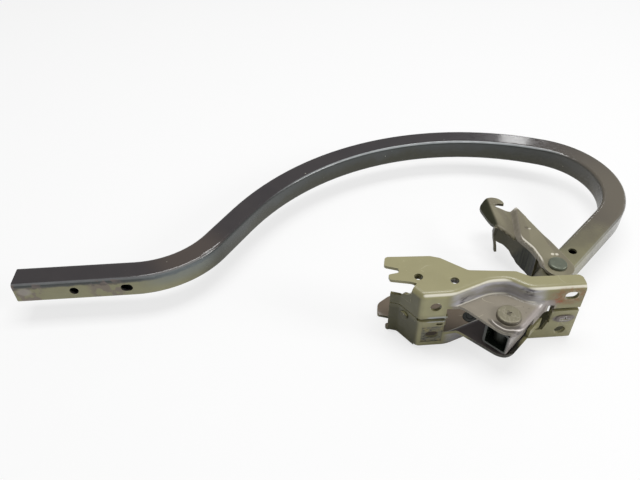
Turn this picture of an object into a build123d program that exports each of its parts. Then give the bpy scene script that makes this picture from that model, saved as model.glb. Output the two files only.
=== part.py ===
from build123d import *
import math
import os

os.makedirs("parts", exist_ok=True)

# Trunk lid hinge with a gooseneck arm of square tube, shown shut.
# Frame: millimetres, +Z up. The hinge lies on its side as in the picture, so both axles are
# vertical. X runs along the body flange, Y goes away from the viewer, and the front face of the
# body flange is the plane Y = 0. Z = 0 is the middle of the tube.

# Arm: one length of square tube, cold bent in one plane
TUBE = 20.0
TUBE_WALL = 2.0
TUBE_CORNER = 3.0
PIVOT_X = 0.0
PIVOT_Y = -12.0
TAIL = 12.0
STEM_ANGLE = 42.4
STEM = 163.5
ELBOW_RADIUS = 68.0
ELBOW_ANGLE = 112.2
BOW_RADIUS = 237.6
BOW_ANGLE = 81.2
NECK = 38.7
SWAN_RADIUS = 74.3
SWAN_ANGLE = ELBOW_ANGLE + BOW_ANGLE + STEM_ANGLE - 180.0
LID_STRAIGHT = 92.2
LINK_PIVOT_AT = 72.0
SIDE_HOLE_AT = 99.4
SIDE_HOLE = 6.8
LID_HOLE = 7.0
LID_HOLE_FROM_END = 46.2
LID_SLOT_LENGTH = 9.4
LID_SLOT_WIDTH = 7.0
LID_HOLE_PITCH = 41.0

# Bracket: two stampings, lapped at mid height
SHEET = 2.5
HALF_HEIGHT = 28.0
LOWER_HEIGHT = 30.5
BEND = 5.0
EAR_BEND = 2.8
STOP_BEND = 5.0
STOP_CORNER = 4.0
JOGGLE = 3.0
SEAM_GAP = 0.3
EAR_TOP = 14.5
LAP_GAP = 0.15
LAP_DEPTH = 8.0
LAP_START = 2.0
SEAM_LEFT = 0.0
SEAM_RIGHT = 2.6
WEB_LEFT_END = -60.0
WEB_LEFT_EDGE = -39.5
WEB_RIGHT_EDGE = 39.0
WEB_RIGHT_END = 59.0
BODY_HOLE_X = 49.5
BODY_HOLE_Z_LEFT = 15.5
BODY_HOLE_Z_RIGHT = 19.0
BODY_HOLE = 8.4
BODY_SLOT_LENGTH = 10.0
BODY_SLOT_WIDTH = 7.2
PLATE_HOLE = 6.5
PLATE_HOLES = [(-59.6, 19.6), (-34.2, 13.6)]
EAR_BLANK_X = -41.0
EAR_SIDE = 11.2
STOP_OFFSET = 13.2
STOP_START = 14.5
STOP_LOW = 3.0
BROW_LOW = 10.5
STOP_ROOT = 9.5
TAB_TOP = 12.0
TAB_LOW = -2.0
TAB_FOOT = 28.5
WALL_END_UPPER = (-66.5, 8.5)
WALL_END_LOWER = (-71.5, 15.6)
LEDGE = 2.0
PANEL_DEPTH = 0.4
CLINCH_LENGTH = 12.5
CLINCH_WIDTH = 7.0
CLINCH_HEIGHT = 0.7
CLINCH_Z = -5.6
FLOOR_HOLE = 9.0
OVERSIZE = 110.0

# Main axle
PIN_DIAMETER = 10.0
PIN_HEAD_DIAMETER = 17.5
PIN_HEAD = 3.4
PIN_PEEN_DIAMETER = 14.0
PIN_PEEN = 2.6
SLEEVE_OUTER = 14.0
RUN_GAP = 0.05
SIDE_GAP = 0.1
BUSH_LENGTH = 8.0
PIN_MARK_LENGTH = 4.6
PIN_MARK_WIDTH = 1.6
PIN_MARK_DEPTH = 0.8
PIN_MARK_ANGLE = 20.0
BUSH_FLANGE_DIAMETER = 16.0
BUSH_WALL = 1.0

# Link axle
RIVET_DIAMETER = 7.0
RIVET_HEAD_DIAMETER = 14.0
RIVET_HEAD = 2.6
LINK_SLEEVE_OUTER = 10.0
LINK_WASHER_DIAMETER = 17.0
LINK_PLATE_TOP = 14.0
LINK_SHEET = 2.5
LINK_STEP = 6.0
LINK_STEP_X = -15.0
LINK_BROW = 3.5
LINK_WALL_START = 9.0
RIVET_FOOT_DIAMETER = 12.0
RIVET_FOOT = 2.4

# Small rivet of the side lap
SIDE_RIVET_DIAMETER = 4.0
SIDE_RIVET_HEAD = 7.2
SIDE_RIVET_HEIGHT = 1.4
SIDE_RIVET_ALONG = 0.29
SIDE_RIVET_Z = -4.4


def corner_wire(corners):
    """Closed wire through (x, y, radius) corners, each corner rounded with its own radius."""
    count = len(corners)
    ends = []
    for i in range(count):
        ax, ay, _ = corners[i - 1]
        bx, by, radius = corners[i]
        cx, cy, _ = corners[(i + 1) % count]
        ux, uy = ax - bx, ay - by
        vx, vy = cx - bx, cy - by
        lu, lv = math.hypot(ux, uy), math.hypot(vx, vy)
        ux, uy, vx, vy = ux / lu, uy / lu, vx / lv, vy / lv
        turn = math.acos(max(-1.0, min(1.0, ux * vx + uy * vy)))
        if radius <= 0.0 or abs(turn - math.pi) < 1e-3:
            ends.append(((bx, by), None, (bx, by)))
            continue
        back = radius / math.tan(turn / 2)
        mx, my = ux + vx, uy + vy
        lm = math.hypot(mx, my)
        reach = radius / math.sin(turn / 2) - radius
        middle = (bx + mx / lm * reach, by + my / lm * reach)
        ends.append(((bx + ux * back, by + uy * back), middle, (bx + vx * back, by + vy * back)))
    edges = []
    for i in range(count):
        start, middle, stop = ends[i]
        if middle is not None:
            edges.append(ThreePointArc(start, middle, stop).edge())
        following = ends[(i + 1) % count][0]
        if math.hypot(following[0] - stop[0], following[1] - stop[1]) > 1e-4:
            edges.append(Line(stop, following).edge())
    return Wire(edges)


def prism(corners, low, high):
    """Straight prism over rounded corners between two heights."""
    return extrude(Plane.XY.offset(low) * make_face(corner_wire(corners).edges()), high - low)


def drill(x, y, diameter, low=-60.0, high=60.0):
    """Vertical cutter or shank."""
    return Pos(x, y, (low + high) / 2) * Cylinder(diameter / 2, high - low)


def along_arm(distance, side=0.0):
    """Point at a distance from the main axle along the shut stem; side is to its left."""
    angle = math.radians(STEM_ANGLE)
    x = PIVOT_X + distance * math.cos(angle) - side * math.sin(angle)
    y = PIVOT_Y + distance * math.sin(angle) + side * math.cos(angle)
    return x, y


def tube_solid(size, corner, extra):
    """Square bar along the arm's centre line, as straight and turned lengths."""
    x, y = along_arm(-TAIL - extra)
    heading = STEM_ANGLE
    steps = [
        ("line", TAIL + extra + STEM, 0.0),
        ("turn", ELBOW_RADIUS, ELBOW_ANGLE),
        ("turn", BOW_RADIUS, BOW_ANGLE),
        ("line", NECK, 0.0),
        ("turn", SWAN_RADIUS, -SWAN_ANGLE),
        ("line", LID_STRAIGHT + extra, 0.0),
    ]
    solid = None
    for kind, value, angle in steps:
        along = math.radians(heading)
        plane = Plane(
            origin=(x, y, 0),
            x_dir=(-math.sin(along), math.cos(along), 0),
            z_dir=(math.cos(along), math.sin(along), 0),
        )
        section = plane * RectangleRounded(size, size, corner)
        if kind == "line":
            piece = extrude(section, value)
            x += value * math.cos(along)
            y += value * math.sin(along)
        else:
            sign = 1.0 if angle > 0 else -1.0
            cx = x - sign * value * math.sin(along)
            cy = y + sign * value * math.cos(along)
            piece = revolve(section, Axis((cx, cy, 0), (0, 0, sign)), revolution_arc=abs(angle))
            heading += angle
            after = math.radians(heading)
            x = cx + sign * value * math.sin(after)
            y = cy - sign * value * math.cos(after)
        solid = piece if solid is None else solid + piece
    return solid, (x, y)


def hinge_arm():
    outer, lid_end = tube_solid(TUBE, TUBE_CORNER, 0.0)
    inner, _ = tube_solid(TUBE - 2 * TUBE_WALL, TUBE_CORNER - TUBE_WALL + 0.5, 1.0)
    arm = outer - inner
    arm -= drill(*along_arm(0), SLEEVE_OUTER)
    arm -= drill(*along_arm(LINK_PIVOT_AT), LINK_SLEEVE_OUTER)
    arm -= drill(*along_arm(SIDE_HOLE_AT), SIDE_HOLE)
    end_x, end_y = lid_end
    across = Rot(90, 0, 0) * Cylinder(LID_HOLE / 2, TUBE + 4)
    arm -= Pos(end_x + LID_HOLE_FROM_END, end_y, 0) * across
    slot = extrude(Plane.XZ * SlotOverall(LID_SLOT_LENGTH, LID_SLOT_WIDTH), TUBE / 2 + 2, both=True)
    arm -= Pos(end_x + LID_HOLE_FROM_END + LID_HOLE_PITCH, end_y, 0) * slot
    return arm


def parallel(points, inset):
    """Open line moved to its left by inset; corner radii follow the sheet's bend."""
    moved = []
    count = len(points)
    sides = []
    for i in range(count - 1):
        dx = points[i + 1][0] - points[i][0]
        dy = points[i + 1][1] - points[i][1]
        size = math.hypot(dx, dy)
        sides.append((dx / size, dy / size))
    for i in range(count):
        x, y, radius = points[i]
        if i == 0 or i == count - 1:
            ux, uy = sides[0] if i == 0 else sides[-1]
            moved.append((x - uy * inset, y + ux * inset, 0))
            continue
        (ax, ay), (bx, by) = sides[i - 1], sides[i]
        turn = ax * by - ay * bx
        nx, ny = -(ay + by), ax + bx
        scale = inset / ((-ay) * nx + ax * ny) if abs(turn) > 1e-6 else inset / (nx * nx + ny * ny) * 2
        grown = radius - inset if turn > 0 else radius + inset
        moved.append((x + nx * scale, y + ny * scale, max(0.3, grown) if radius > 0 else 0))
    return moved


FRONT = [
    (-60.5, 0, 6.0),
    (-37.0, 0, 24),
    (-8.5, 11.0, 30),
    (5.0, 11.0, 13),
    (18.5, 0, 18),
    (WEB_RIGHT_END, 0, 0),
]

EAR_BLANK = [
    (-34.0, 1.0, 0),
    (-29.5, -1.0, 8),
    (-2.0, -33.6, 14),
    (*along_arm(48.0, -STOP_OFFSET - 1.4), 0),
]

LOWER_EAR_BLANK = [
    (-34.0, 1.0, 0),
    (-29.5, -1.0, 8),
    (0.2, -31.6, 14),
    (*along_arm(48.0, -STOP_OFFSET - 1.4), 0),
]

TAB_LINE = [
    (-79.5, 19.5, 0),
    (-72.5, 17.0, 4.0),
    (-60.5, 0, 6.0),
    (WEB_LEFT_EDGE, 0, 0),
]

UPPER_REAR = [
    (WEB_RIGHT_END, 9.5, 2.5),
    (57.0, 12.0, 2.5),
    (21.5, 12.8, 4),
    (12.5, 19.2, 5),
    (-22.0, 23.2, 6),
    (-40.0, 38.0, 5),
    (-47.0, 40.6, 6),
    (-81.0, 42.4, 3),
    (-83.2, 33.2, 2.5),
    (-72.6, 29.2, 1.6),
    (-73.4, 25.0, 1.6),
    (-81.6, 23.6, 2),
    (-80.6, 18.4, 2),
    (-66.0, 15.0, 1.0),
    (-61.8, 12.9, 0.6),
]

LOWER_REAR = [
    (WEB_RIGHT_END, 9.5, 2.5),
    (57.0, 26.0, 4),
    (22.0, 31.0, 12),
    (-24.0, 37.0, 12),
    (-40.0, 45.0, 8),
    (-50.0, 52.5, 8),
    (-71.0, 55.2, 13),
    (-83.6, 46.0, 8),
    (-85.2, 34.8, 2.0),
    (-73.4, 30.6, 1.6),
    (-74.4, 25.4, 1.6),
    (-80.8, 25.0, 2),
    (-80.2, 19.8, 2.0),
    (-73.6, 22.0, 1.5),
    (-66.2, 19.6, 0.6),
]


def formed(inset, wall_end, rear, low, height):
    """Form of one stamping, its outside at inset 0 and its inside one sheet further in."""
    front = [(*wall_end, 0), *FRONT]
    body = prism(parallel(front, inset) + rear, low, height - inset)
    top_front = []
    for edge in body.edges():
        middle = edge @ 0.5
        ends = [v.Y for v in edge.vertices()]
        if abs(middle.Z - (height - inset)) > 0.01 or max(ends) > wall_end[1] + 2.0 + inset:
            continue
        if min(v.X for v in edge.vertices()) < 1.0 - OVERSIZE:
            continue
        if middle.X < -58.0 or max(ends) < 11.01 + inset and (middle.X < 20.0 or middle.Y < inset + 0.01):
            top_front.append(edge)
    body = body.fillet(BEND - inset, top_front)
    tip = along_arm(-40.0, inset - STOP_OFFSET)
    root = along_arm(48.0, inset - STOP_OFFSET)
    ear = [(EAR_BLANK_X, 12.5 + inset, 0), (EAR_BLANK_X, -45.0, 0), (tip[0], tip[1], 0),
           (root[0], root[1], 0), (30.0, 12.5 + inset, 0)]
    top = EAR_TOP - inset
    solid = body + prism(ear, low, top)
    if inset > 0:
        solid = solid.fillet(STOP_BEND - inset, brow_edges(solid, inset, top))
        return solid.fillet(EAR_BEND + inset, foot_edges(solid, inset, top))
    solid = solid.fillet(EAR_BEND, foot_edges(solid, inset, top))
    solid = solid.fillet(STOP_BEND, brow_edges(solid, inset, top))
    corner = []
    for edge in solid.edges().filter_by(Axis.Z):
        middle = edge @ 0.5
        if abs(middle.Y) < 0.02 and 20 < middle.X < 45:
            corner.append(edge)
    return solid.fillet(STOP_CORNER, corner)


def foot_edges(solid, inset, top):
    """Edges where the recess wall stands on the ear."""
    found = []
    for edge in solid.edges():
        middle = edge @ 0.5
        if abs(middle.Z - top) < 0.01 and inset - 0.01 < middle.Y < 11.2 + inset:
            if EAR_BLANK_X + 0.01 < middle.X < 33.5:
                found.append(edge)
    return found


def brow_edges(solid, inset, top):
    """Edge over the stop, along the ear's right side."""
    angle = math.radians(STEM_ANGLE)
    found = []
    for edge in solid.edges():
        middle = edge @ 0.5
        side = (middle.X - PIVOT_X) * math.sin(angle) - (middle.Y - PIVOT_Y) * math.cos(angle)
        if abs(middle.Z - top) < 0.01 and abs(side - STOP_OFFSET + inset) < 0.01:
            found.append(edge)
    return found


def strip(line, near, far, low, high):
    """Upright strip of sheet along a line between two insets."""
    loop = parallel(line, near) + list(reversed(parallel(line, far)))
    return prism(loop, low, high)


def frame_box(s0, s1, v0, v1, low, high):
    """Block in the arm's directions: s along the shut stem, v to its right."""
    a, b = along_arm(s0, -v0), along_arm(s1, -v0)
    c, d = along_arm(s1, -v1), along_arm(s0, -v1)
    return prism([(*a, 0), (*b, 0), (*c, 0), (*d, 0)], low, high)


def block(x0, x1, y0, y1, z0, z1):
    return Pos((x0 + x1) / 2, (y0 + y1) / 2, (z0 + z1) / 2) * Box(x1 - x0, y1 - y0, z1 - z0)


def web_hole(x, z, length, width):
    """Hole through the web, round where length equals width."""
    if length <= width:
        shape = Circle(width / 2)
    else:
        shape = SlotOverall(length, width)
    return extrude(Plane(origin=(x, -2, z), x_dir=(1, 0, 0), z_dir=(0, 1, 0)) * shape, 9.0)


def stamping(wall_end, rear, left_low, right_low, height, blank_line):
    """Sheet of one half in the upper position: shell, web openings, ear outline and stop."""
    low = min(left_low, right_low, -SEAM_RIGHT)
    far_rear = [(WEB_RIGHT_END + 20, SHEET, 0), (WEB_RIGHT_END + 20, OVERSIZE, 0), (-OVERSIZE, OVERSIZE, 0),
                (-OVERSIZE, SHEET, 0)]
    sheet = formed(0.0, wall_end, rear, low, height) - formed(SHEET, wall_end, far_rear, low - 1, height)
    blank = prism(blank_line, low - 2, EAR_TOP + EAR_BEND + 1)
    front = block(-90, 90, -60, -0.001, low - 2, EAR_TOP + EAR_BEND + 0.01)
    sheet -= front - blank
    sheet -= block(WEB_LEFT_EDGE, 0, -1, 12, low - 2, EAR_TOP - SHEET - 0.01)
    sheet -= block(20, WEB_RIGHT_EDGE, -0.001, 12, low - 2, STOP_ROOT)
    sheet -= frame_box(-40, STOP_START, 2, 30, low - 2, BROW_LOW)
    slack = frame_box(STOP_START - 1, 60, 2, 30, low - 2, STOP_LOW)
    sheet -= slack & block(-50, WEB_RIGHT_EDGE, -60, 12, low - 3, 20)
    sheet -= block(-90, WEB_LEFT_EDGE, -1, 20, low - 2, left_low)
    sheet -= block(WEB_RIGHT_EDGE, 90, -1, 20, low - 2, right_low)
    sheet -= drill(PIVOT_X, PIVOT_Y, PIN_DIAMETER, 0, EAR_TOP + 2)
    return sheet


def left_of(x, solid):
    """Part of a solid to the left of X = x."""
    return solid - block(x, OVERSIZE, -1, 40, -40, 40)


def bracket_upper():
    """Upper stamping; its lower margin is stepped back one sheet and lies behind the lower one."""
    left_low = SEAM_LEFT + SEAM_GAP + JOGGLE
    right_low = SEAM_RIGHT + SEAM_GAP + JOGGLE
    sheet = stamping(WALL_END_UPPER, UPPER_REAR, left_low, right_low, HALF_HEIGHT, EAR_BLANK)
    back = SHEET + LAP_GAP
    lap = LAP_DEPTH
    for x0, x1, seam in ((WEB_LEFT_END + LAP_START, WEB_LEFT_EDGE, SEAM_LEFT), (WEB_RIGHT_EDGE, WEB_RIGHT_END, SEAM_RIGHT)):
        edge = seam + SEAM_GAP
        step = [(0, edge + JOGGLE + 0.6), (0, edge + JOGGLE), (back, edge), (back, edge - lap),
                (back + SHEET, edge - lap), (back + SHEET, edge + 1.0), (SHEET, edge + JOGGLE + 1.0),
                (SHEET, edge + JOGGLE + 1.6), (0, edge + JOGGLE + 1.6)]
        profile = Plane(origin=(x0, 0, 0), x_dir=(0, 1, 0), z_dir=(1, 0, 0)) * make_face(Polyline(*step, close=True))
        sheet += extrude(profile, x1 - x0)
    low = SEAM_LEFT + SEAM_GAP - lap
    sheet += left_of(-57.0, strip(TAB_LINE, back, back + SHEET, low, left_low + LEDGE))
    sheet += left_of(-57.5, strip(TAB_LINE, 0.0, back + SHEET, left_low - 0.5, left_low + LEDGE))
    sheet += left_of(-63.0, strip(TAB_LINE, 0.0, SHEET, left_low, TAB_TOP))
    sheet -= web_hole(-BODY_HOLE_X, BODY_HOLE_Z_LEFT, BODY_HOLE, BODY_HOLE)
    sheet -= web_hole(BODY_HOLE_X, BODY_HOLE_Z_RIGHT, BODY_SLOT_LENGTH, BODY_SLOT_WIDTH)
    for x, y in PLATE_HOLES:
        sheet -= drill(x, y, PLATE_HOLE, 0)
    return sheet - side_rivet_bar(SIDE_RIVET_DIAMETER)


def clinch():
    """Oval clinch that stands proud of the lower right web, with a T-shaped slit in it."""
    origin = (BODY_HOLE_X, 0, CLINCH_Z)
    plane = Plane(origin=origin, x_dir=(1, 0, 0), z_dir=(0, -1, 0))
    boss = extrude(plane * SlotOverall(CLINCH_LENGTH, CLINCH_WIDTH), CLINCH_HEIGHT)
    top = plane.offset(CLINCH_HEIGHT)
    slit = extrude(top * (Pos(0.8, -0.9) * Rectangle(7.4, 1.2)), -2 * CLINCH_HEIGHT)
    slit += extrude(top * (Pos(1.0, 0.6) * Rectangle(1.3, 3.0)), -2 * CLINCH_HEIGHT)
    return boss, slit


def bracket_lower():
    """Lower stamping, the mirror image in its main forms, with a longer plate and rear prong."""
    sheet = stamping(WALL_END_LOWER, LOWER_REAR, -SEAM_LEFT, -SEAM_RIGHT, LOWER_HEIGHT, LOWER_EAR_BLANK)
    sheet += left_of(-62.0, strip(TAB_LINE, 0.0, SHEET, TAB_LOW, TAB_FOOT))
    sheet -= web_hole(BODY_HOLE_X, BODY_HOLE_Z_RIGHT, BODY_HOLE, BODY_HOLE)
    sheet -= web_hole(-BODY_HOLE_X, BODY_HOLE_Z_LEFT, BODY_SLOT_LENGTH, BODY_SLOT_WIDTH)
    sheet -= block(-57.6, -41.5, -1, PANEL_DEPTH, 6.0, 23.0)
    sheet -= web_hole(-44.8, 3.6, 5.0, 2.0)
    sheet -= drill(-12.1, 25.6, FLOOR_HOLE, 0)
    sheet = mirror(sheet, Plane.XY)
    boss, slit = clinch()
    sheet = sheet + boss - slit
    return sheet - side_rivet_bar(SIDE_RIVET_DIAMETER)


def side_rivet_plane():
    """Plane on the outside of the left wall, facing out, at the lap rivet."""
    ax, ay = TAB_LINE[1][0], TAB_LINE[1][1]
    bx, by = TAB_LINE[2][0], TAB_LINE[2][1]
    x, y = ax + (bx - ax) * SIDE_RIVET_ALONG, ay + (by - ay) * SIDE_RIVET_ALONG
    size = math.hypot(bx - ax, by - ay)
    return Plane(origin=(x, y, SIDE_RIVET_Z), x_dir=(0, 0, 1), z_dir=((by - ay) / size, -(bx - ax) / size, 0))


def side_rivet_bar(diameter):
    return extrude(side_rivet_plane() * Circle(diameter / 2), SHEET * 4, both=True)


def side_rivet():
    """Small rivet through both left walls."""
    depth = 2 * SHEET + LAP_GAP
    plane = side_rivet_plane()
    shank = extrude(plane.offset(-depth) * Circle(SIDE_RIVET_DIAMETER / 2), depth)
    head = extrude(plane * Circle(SIDE_RIVET_HEAD / 2), SIDE_RIVET_HEIGHT)
    head = head.fillet(SIDE_RIVET_HEIGHT * 0.6, head.faces().sort_by(Axis((0, 0, 0), plane.z_dir))[-1].edges())
    foot = extrude(plane.offset(-depth) * Circle(SIDE_RIVET_HEAD / 2), -SIDE_RIVET_HEIGHT)
    return shank + head + foot


def headed(radius, height, round_over):
    """Low round head standing on Z = 0."""
    head = Pos(0, 0, height / 2) * Cylinder(radius, height)
    return head.fillet(round_over, head.faces().sort_by(Axis.Z)[-1].edges())


def pivot_pin():
    """Headed pin of the main axle, upset under the lower ear."""
    length = 2 * EAR_TOP
    pin = Pos(PIVOT_X, PIVOT_Y, 0) * Cylinder(PIN_DIAMETER / 2, length)
    pin += Pos(PIVOT_X, PIVOT_Y, EAR_TOP) * headed(PIN_HEAD_DIAMETER / 2, PIN_HEAD, 1.4)
    pin += Pos(PIVOT_X, PIVOT_Y, -EAR_TOP) * Rot(180, 0, 0) * headed(PIN_PEEN_DIAMETER / 2, PIN_PEEN, 1.2)
    slot = extrude(Plane(origin=(PIVOT_X, PIVOT_Y, EAR_TOP + PIN_HEAD - PIN_MARK_DEPTH)) * SlotOverall(
        PIN_MARK_LENGTH, PIN_MARK_WIDTH, rotation=PIN_MARK_ANGLE), 2)
    return pin - slot


def pivot_sleeve():
    """Steel sleeve through the tube at the main axle."""
    sleeve = Cylinder(SLEEVE_OUTER / 2, TUBE) - Cylinder(PIN_DIAMETER / 2 + RUN_GAP + BUSH_WALL, TUBE)
    return Pos(PIVOT_X, PIVOT_Y, 0) * sleeve


def pivot_bush(sign):
    """Flanged bush pressed into one end of the sleeve."""
    flange = EAR_TOP - SHEET - TUBE / 2 - SIDE_GAP
    outer = PIN_DIAMETER / 2 + RUN_GAP + BUSH_WALL
    bush = Pos(0, 0, TUBE / 2 - BUSH_LENGTH / 2) * Cylinder(outer, BUSH_LENGTH)
    bush += Pos(0, 0, TUBE / 2 + flange / 2) * Cylinder(BUSH_FLANGE_DIAMETER / 2, flange)
    bush -= Cylinder(PIN_DIAMETER / 2 + RUN_GAP, 3 * TUBE)
    if sign < 0:
        bush = mirror(bush, Plane.XY)
    return Pos(PIVOT_X, PIVOT_Y, 0) * bush


def link_rivet():
    """Rivet clamped on the ends of the link's sleeve."""
    half = LINK_PLATE_TOP + SIDE_GAP
    x, y = along_arm(LINK_PIVOT_AT)
    rivet = Cylinder(RIVET_DIAMETER / 2, 2 * half)
    rivet += Pos(0, 0, half) * headed(RIVET_HEAD_DIAMETER / 2, RIVET_HEAD, 1.3)
    rivet += Pos(0, 0, -half) * Rot(180, 0, 0) * headed(RIVET_FOOT_DIAMETER / 2, RIVET_FOOT, 1.2)
    return Pos(x, y, 0) * rivet


def link_sleeve():
    """Sleeve through the tube on which the link turns."""
    x, y = along_arm(LINK_PIVOT_AT)
    length = 2 * (LINK_PLATE_TOP + SIDE_GAP)
    return Pos(x, y, 0) * (Cylinder(LINK_SLEEVE_OUTER / 2, length) - Cylinder(RIVET_DIAMETER / 2, length))


def link_washer(sign):
    """Washer between the tube and a plate of the link."""
    x, y = along_arm(LINK_PIVOT_AT)
    thick = LINK_PLATE_TOP - LINK_SHEET - SIDE_GAP - TUBE / 2
    ring = Cylinder(LINK_WASHER_DIAMETER / 2, thick) - Cylinder(LINK_SLEEVE_OUTER / 2, thick)
    return Pos(x, y, sign * (TUBE / 2 + thick / 2)) * ring


LINK_RIGHT = [
    (13.5, -13.5, 12.0),
    (7.6, 16.0, 30.0),
    (-8.6, 73.4, 3.5),
    (-14.6, 71.8, 1.5),
    (-17.2, 74.4, 2.0),
    (-24.8, 85.0, 1.6),
    (-22.8, 87.6, 1.4),
    (-14.2, 84.4, 0.6),
    (-16.4, 93.0, 4.5),
    (-24.0, 96.4, 6.0),
]

LINK_LEFT = [
    (-28.0, 95.6, 0),
    (-35.0, 88.0, 3.0),
    (-31.6, 60.5, 3.5),
    (-18.2, 39.0, 14.0),
    (-11.5, 10.0, 20.0),
    (-10.2, -13.2, 0),
]


def link_form(inset, low):
    """Form of the link's channel, outside at inset 0, with the hook end one joggle lower."""
    left = parallel(LINK_LEFT, inset)
    if inset == 0:
        left[0] = (*left[0][:2], 3.0)
        left[-1] = (*left[-1][:2], 8.5)
        loop = LINK_RIGHT + left
    else:
        loop = [(60, -60, 0), (60, OVERSIZE, 0), (left[0][0], OVERSIZE, 0)] + left + [(left[-1][0], -60, 0)]
    top = LINK_PLATE_TOP - inset
    shift = inset * math.tan(math.radians(22.5))
    foot = LINK_STEP_X - LINK_STEP / 2 + shift
    brow = LINK_STEP_X + LINK_STEP / 2 + shift
    over = [(-OVERSIZE, top - LINK_STEP), (foot, top - LINK_STEP), (brow, top), (brow, top + 1), (-OVERSIZE, top + 1)]
    side = Plane(origin=(0, OVERSIZE, 0), x_dir=(1, 0, 0), z_dir=(0, -1, 0))
    whole = prism(loop, low, top) - extrude(side * make_face(Polyline(*over, close=True)), 2 * OVERSIZE)
    for x, z, radius in ((brow, top, LINK_BROW - inset), (foot, top - LINK_STEP, LINK_BROW - LINK_SHEET + inset)):
        edges = []
        for e in whole.edges().filter_by(Axis.Y):
            middle = e @ 0.5
            if abs(middle.X - x) < 0.01 and abs(middle.Z - z) < 0.01 and e.length > 5:
                edges.append(e)
        whole = whole.fillet(radius, edges)
    return whole


def counterbalance_link():
    """Stamped channel that straddles the tube and ends in the hook for the lid spring rod."""
    low = -LINK_PLATE_TOP
    link = link_form(0.0, low - 6) - link_form(LINK_SHEET, low + LINK_SHEET)
    inner_low = block(-90, 60, -60, 140, low - 7, low)
    spike = [(low - 4, 58), (low - 4, 64), (4, 99), (4, 140), (low - 40, 140), (low - 40, 58)]
    link -= inner_low - block(-90, -27.0, 60.6, 66, low - 7, low)
    link -= block(-90, 60, 44.0, 140, low - 1, low + LINK_SHEET + 0.01) - block(-90, -27.0, 60.6, 66, low - 7, 0)
    link -= block(-24, 0, -20, LINK_WALL_START, low + LINK_SHEET, LINK_PLATE_TOP - LINK_SHEET)
    slope = extrude(Plane(origin=(-90, 0, 0), x_dir=(0, 1, 0), z_dir=(1, 0, 0)) * make_face(
        Polyline((64.5, -18.5), (97.5, 3.5), (140, 3.5), (140, -40), (64.5, -40), close=True)), 62.5)
    link -= slope
    link -= Cylinder(LINK_SLEEVE_OUTER / 2 + RUN_GAP, 60)
    x, y = along_arm(LINK_PIVOT_AT)
    return Pos(x, y, 0) * link


NODES = {
    "hinge_arm": hinge_arm,
    "bracket_upper": bracket_upper,
    "bracket_lower": bracket_lower,
    "side_rivet": side_rivet,
    "pivot_pin": pivot_pin,
    "pivot_sleeve": pivot_sleeve,
    "pivot_bush_upper": lambda: pivot_bush(1),
    "pivot_bush_lower": lambda: pivot_bush(-1),
    "link_rivet": link_rivet,
    "link_sleeve": link_sleeve,
    "link_washer_upper": lambda: link_washer(1),
    "link_washer_lower": lambda: link_washer(-1),
    "counterbalance_link": counterbalance_link,
}

for name, build in NODES.items():
    shape = build()
    solids = shape.solids()
    print(name, round(shape.volume), shape.is_valid, len(solids))
    export_step(shape, f"parts/{name}.step")
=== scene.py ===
import bpy
import math
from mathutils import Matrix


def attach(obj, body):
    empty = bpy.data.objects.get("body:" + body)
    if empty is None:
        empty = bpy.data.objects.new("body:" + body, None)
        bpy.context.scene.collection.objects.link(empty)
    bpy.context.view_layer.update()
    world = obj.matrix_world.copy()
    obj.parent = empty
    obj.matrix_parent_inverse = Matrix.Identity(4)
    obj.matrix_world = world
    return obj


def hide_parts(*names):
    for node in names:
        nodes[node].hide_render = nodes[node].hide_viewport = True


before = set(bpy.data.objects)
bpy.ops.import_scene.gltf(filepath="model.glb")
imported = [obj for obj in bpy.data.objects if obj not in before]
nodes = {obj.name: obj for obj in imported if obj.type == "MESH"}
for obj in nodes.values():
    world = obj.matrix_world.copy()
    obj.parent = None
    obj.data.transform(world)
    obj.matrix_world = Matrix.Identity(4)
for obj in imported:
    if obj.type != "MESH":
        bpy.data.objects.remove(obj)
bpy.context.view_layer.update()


# Hinge arm. One length of square steel tube, cold bent to a gooseneck, dipped in an olive
# primer and sprayed dark grey from above. The spray thins out towards the main axle and on the
# front face of the lid end, where the screws rubbed it.
class Level:
    """A shader socket that Python arithmetic works on."""

    def __init__(self, finish, socket):
        self.finish = finish
        self.socket = socket

    def math(self, operation, other=0.0, swap=False):
        pair = (other, self) if swap else (self, other)
        return self.finish.node("ShaderNodeMath", {"operation": operation}, {0: pair[0], 1: pair[1]})

    def __add__(self, other):
        return self.math("ADD", other)

    def __sub__(self, other):
        return self.math("SUBTRACT", other)

    def __mul__(self, other):
        return self.math("MULTIPLY", other)

    def __pow__(self, other):
        return self.math("POWER", other)

    def __rsub__(self, other):
        return self.math("SUBTRACT", other, swap=True)

    __radd__ = __add__
    __rmul__ = __mul__


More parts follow.
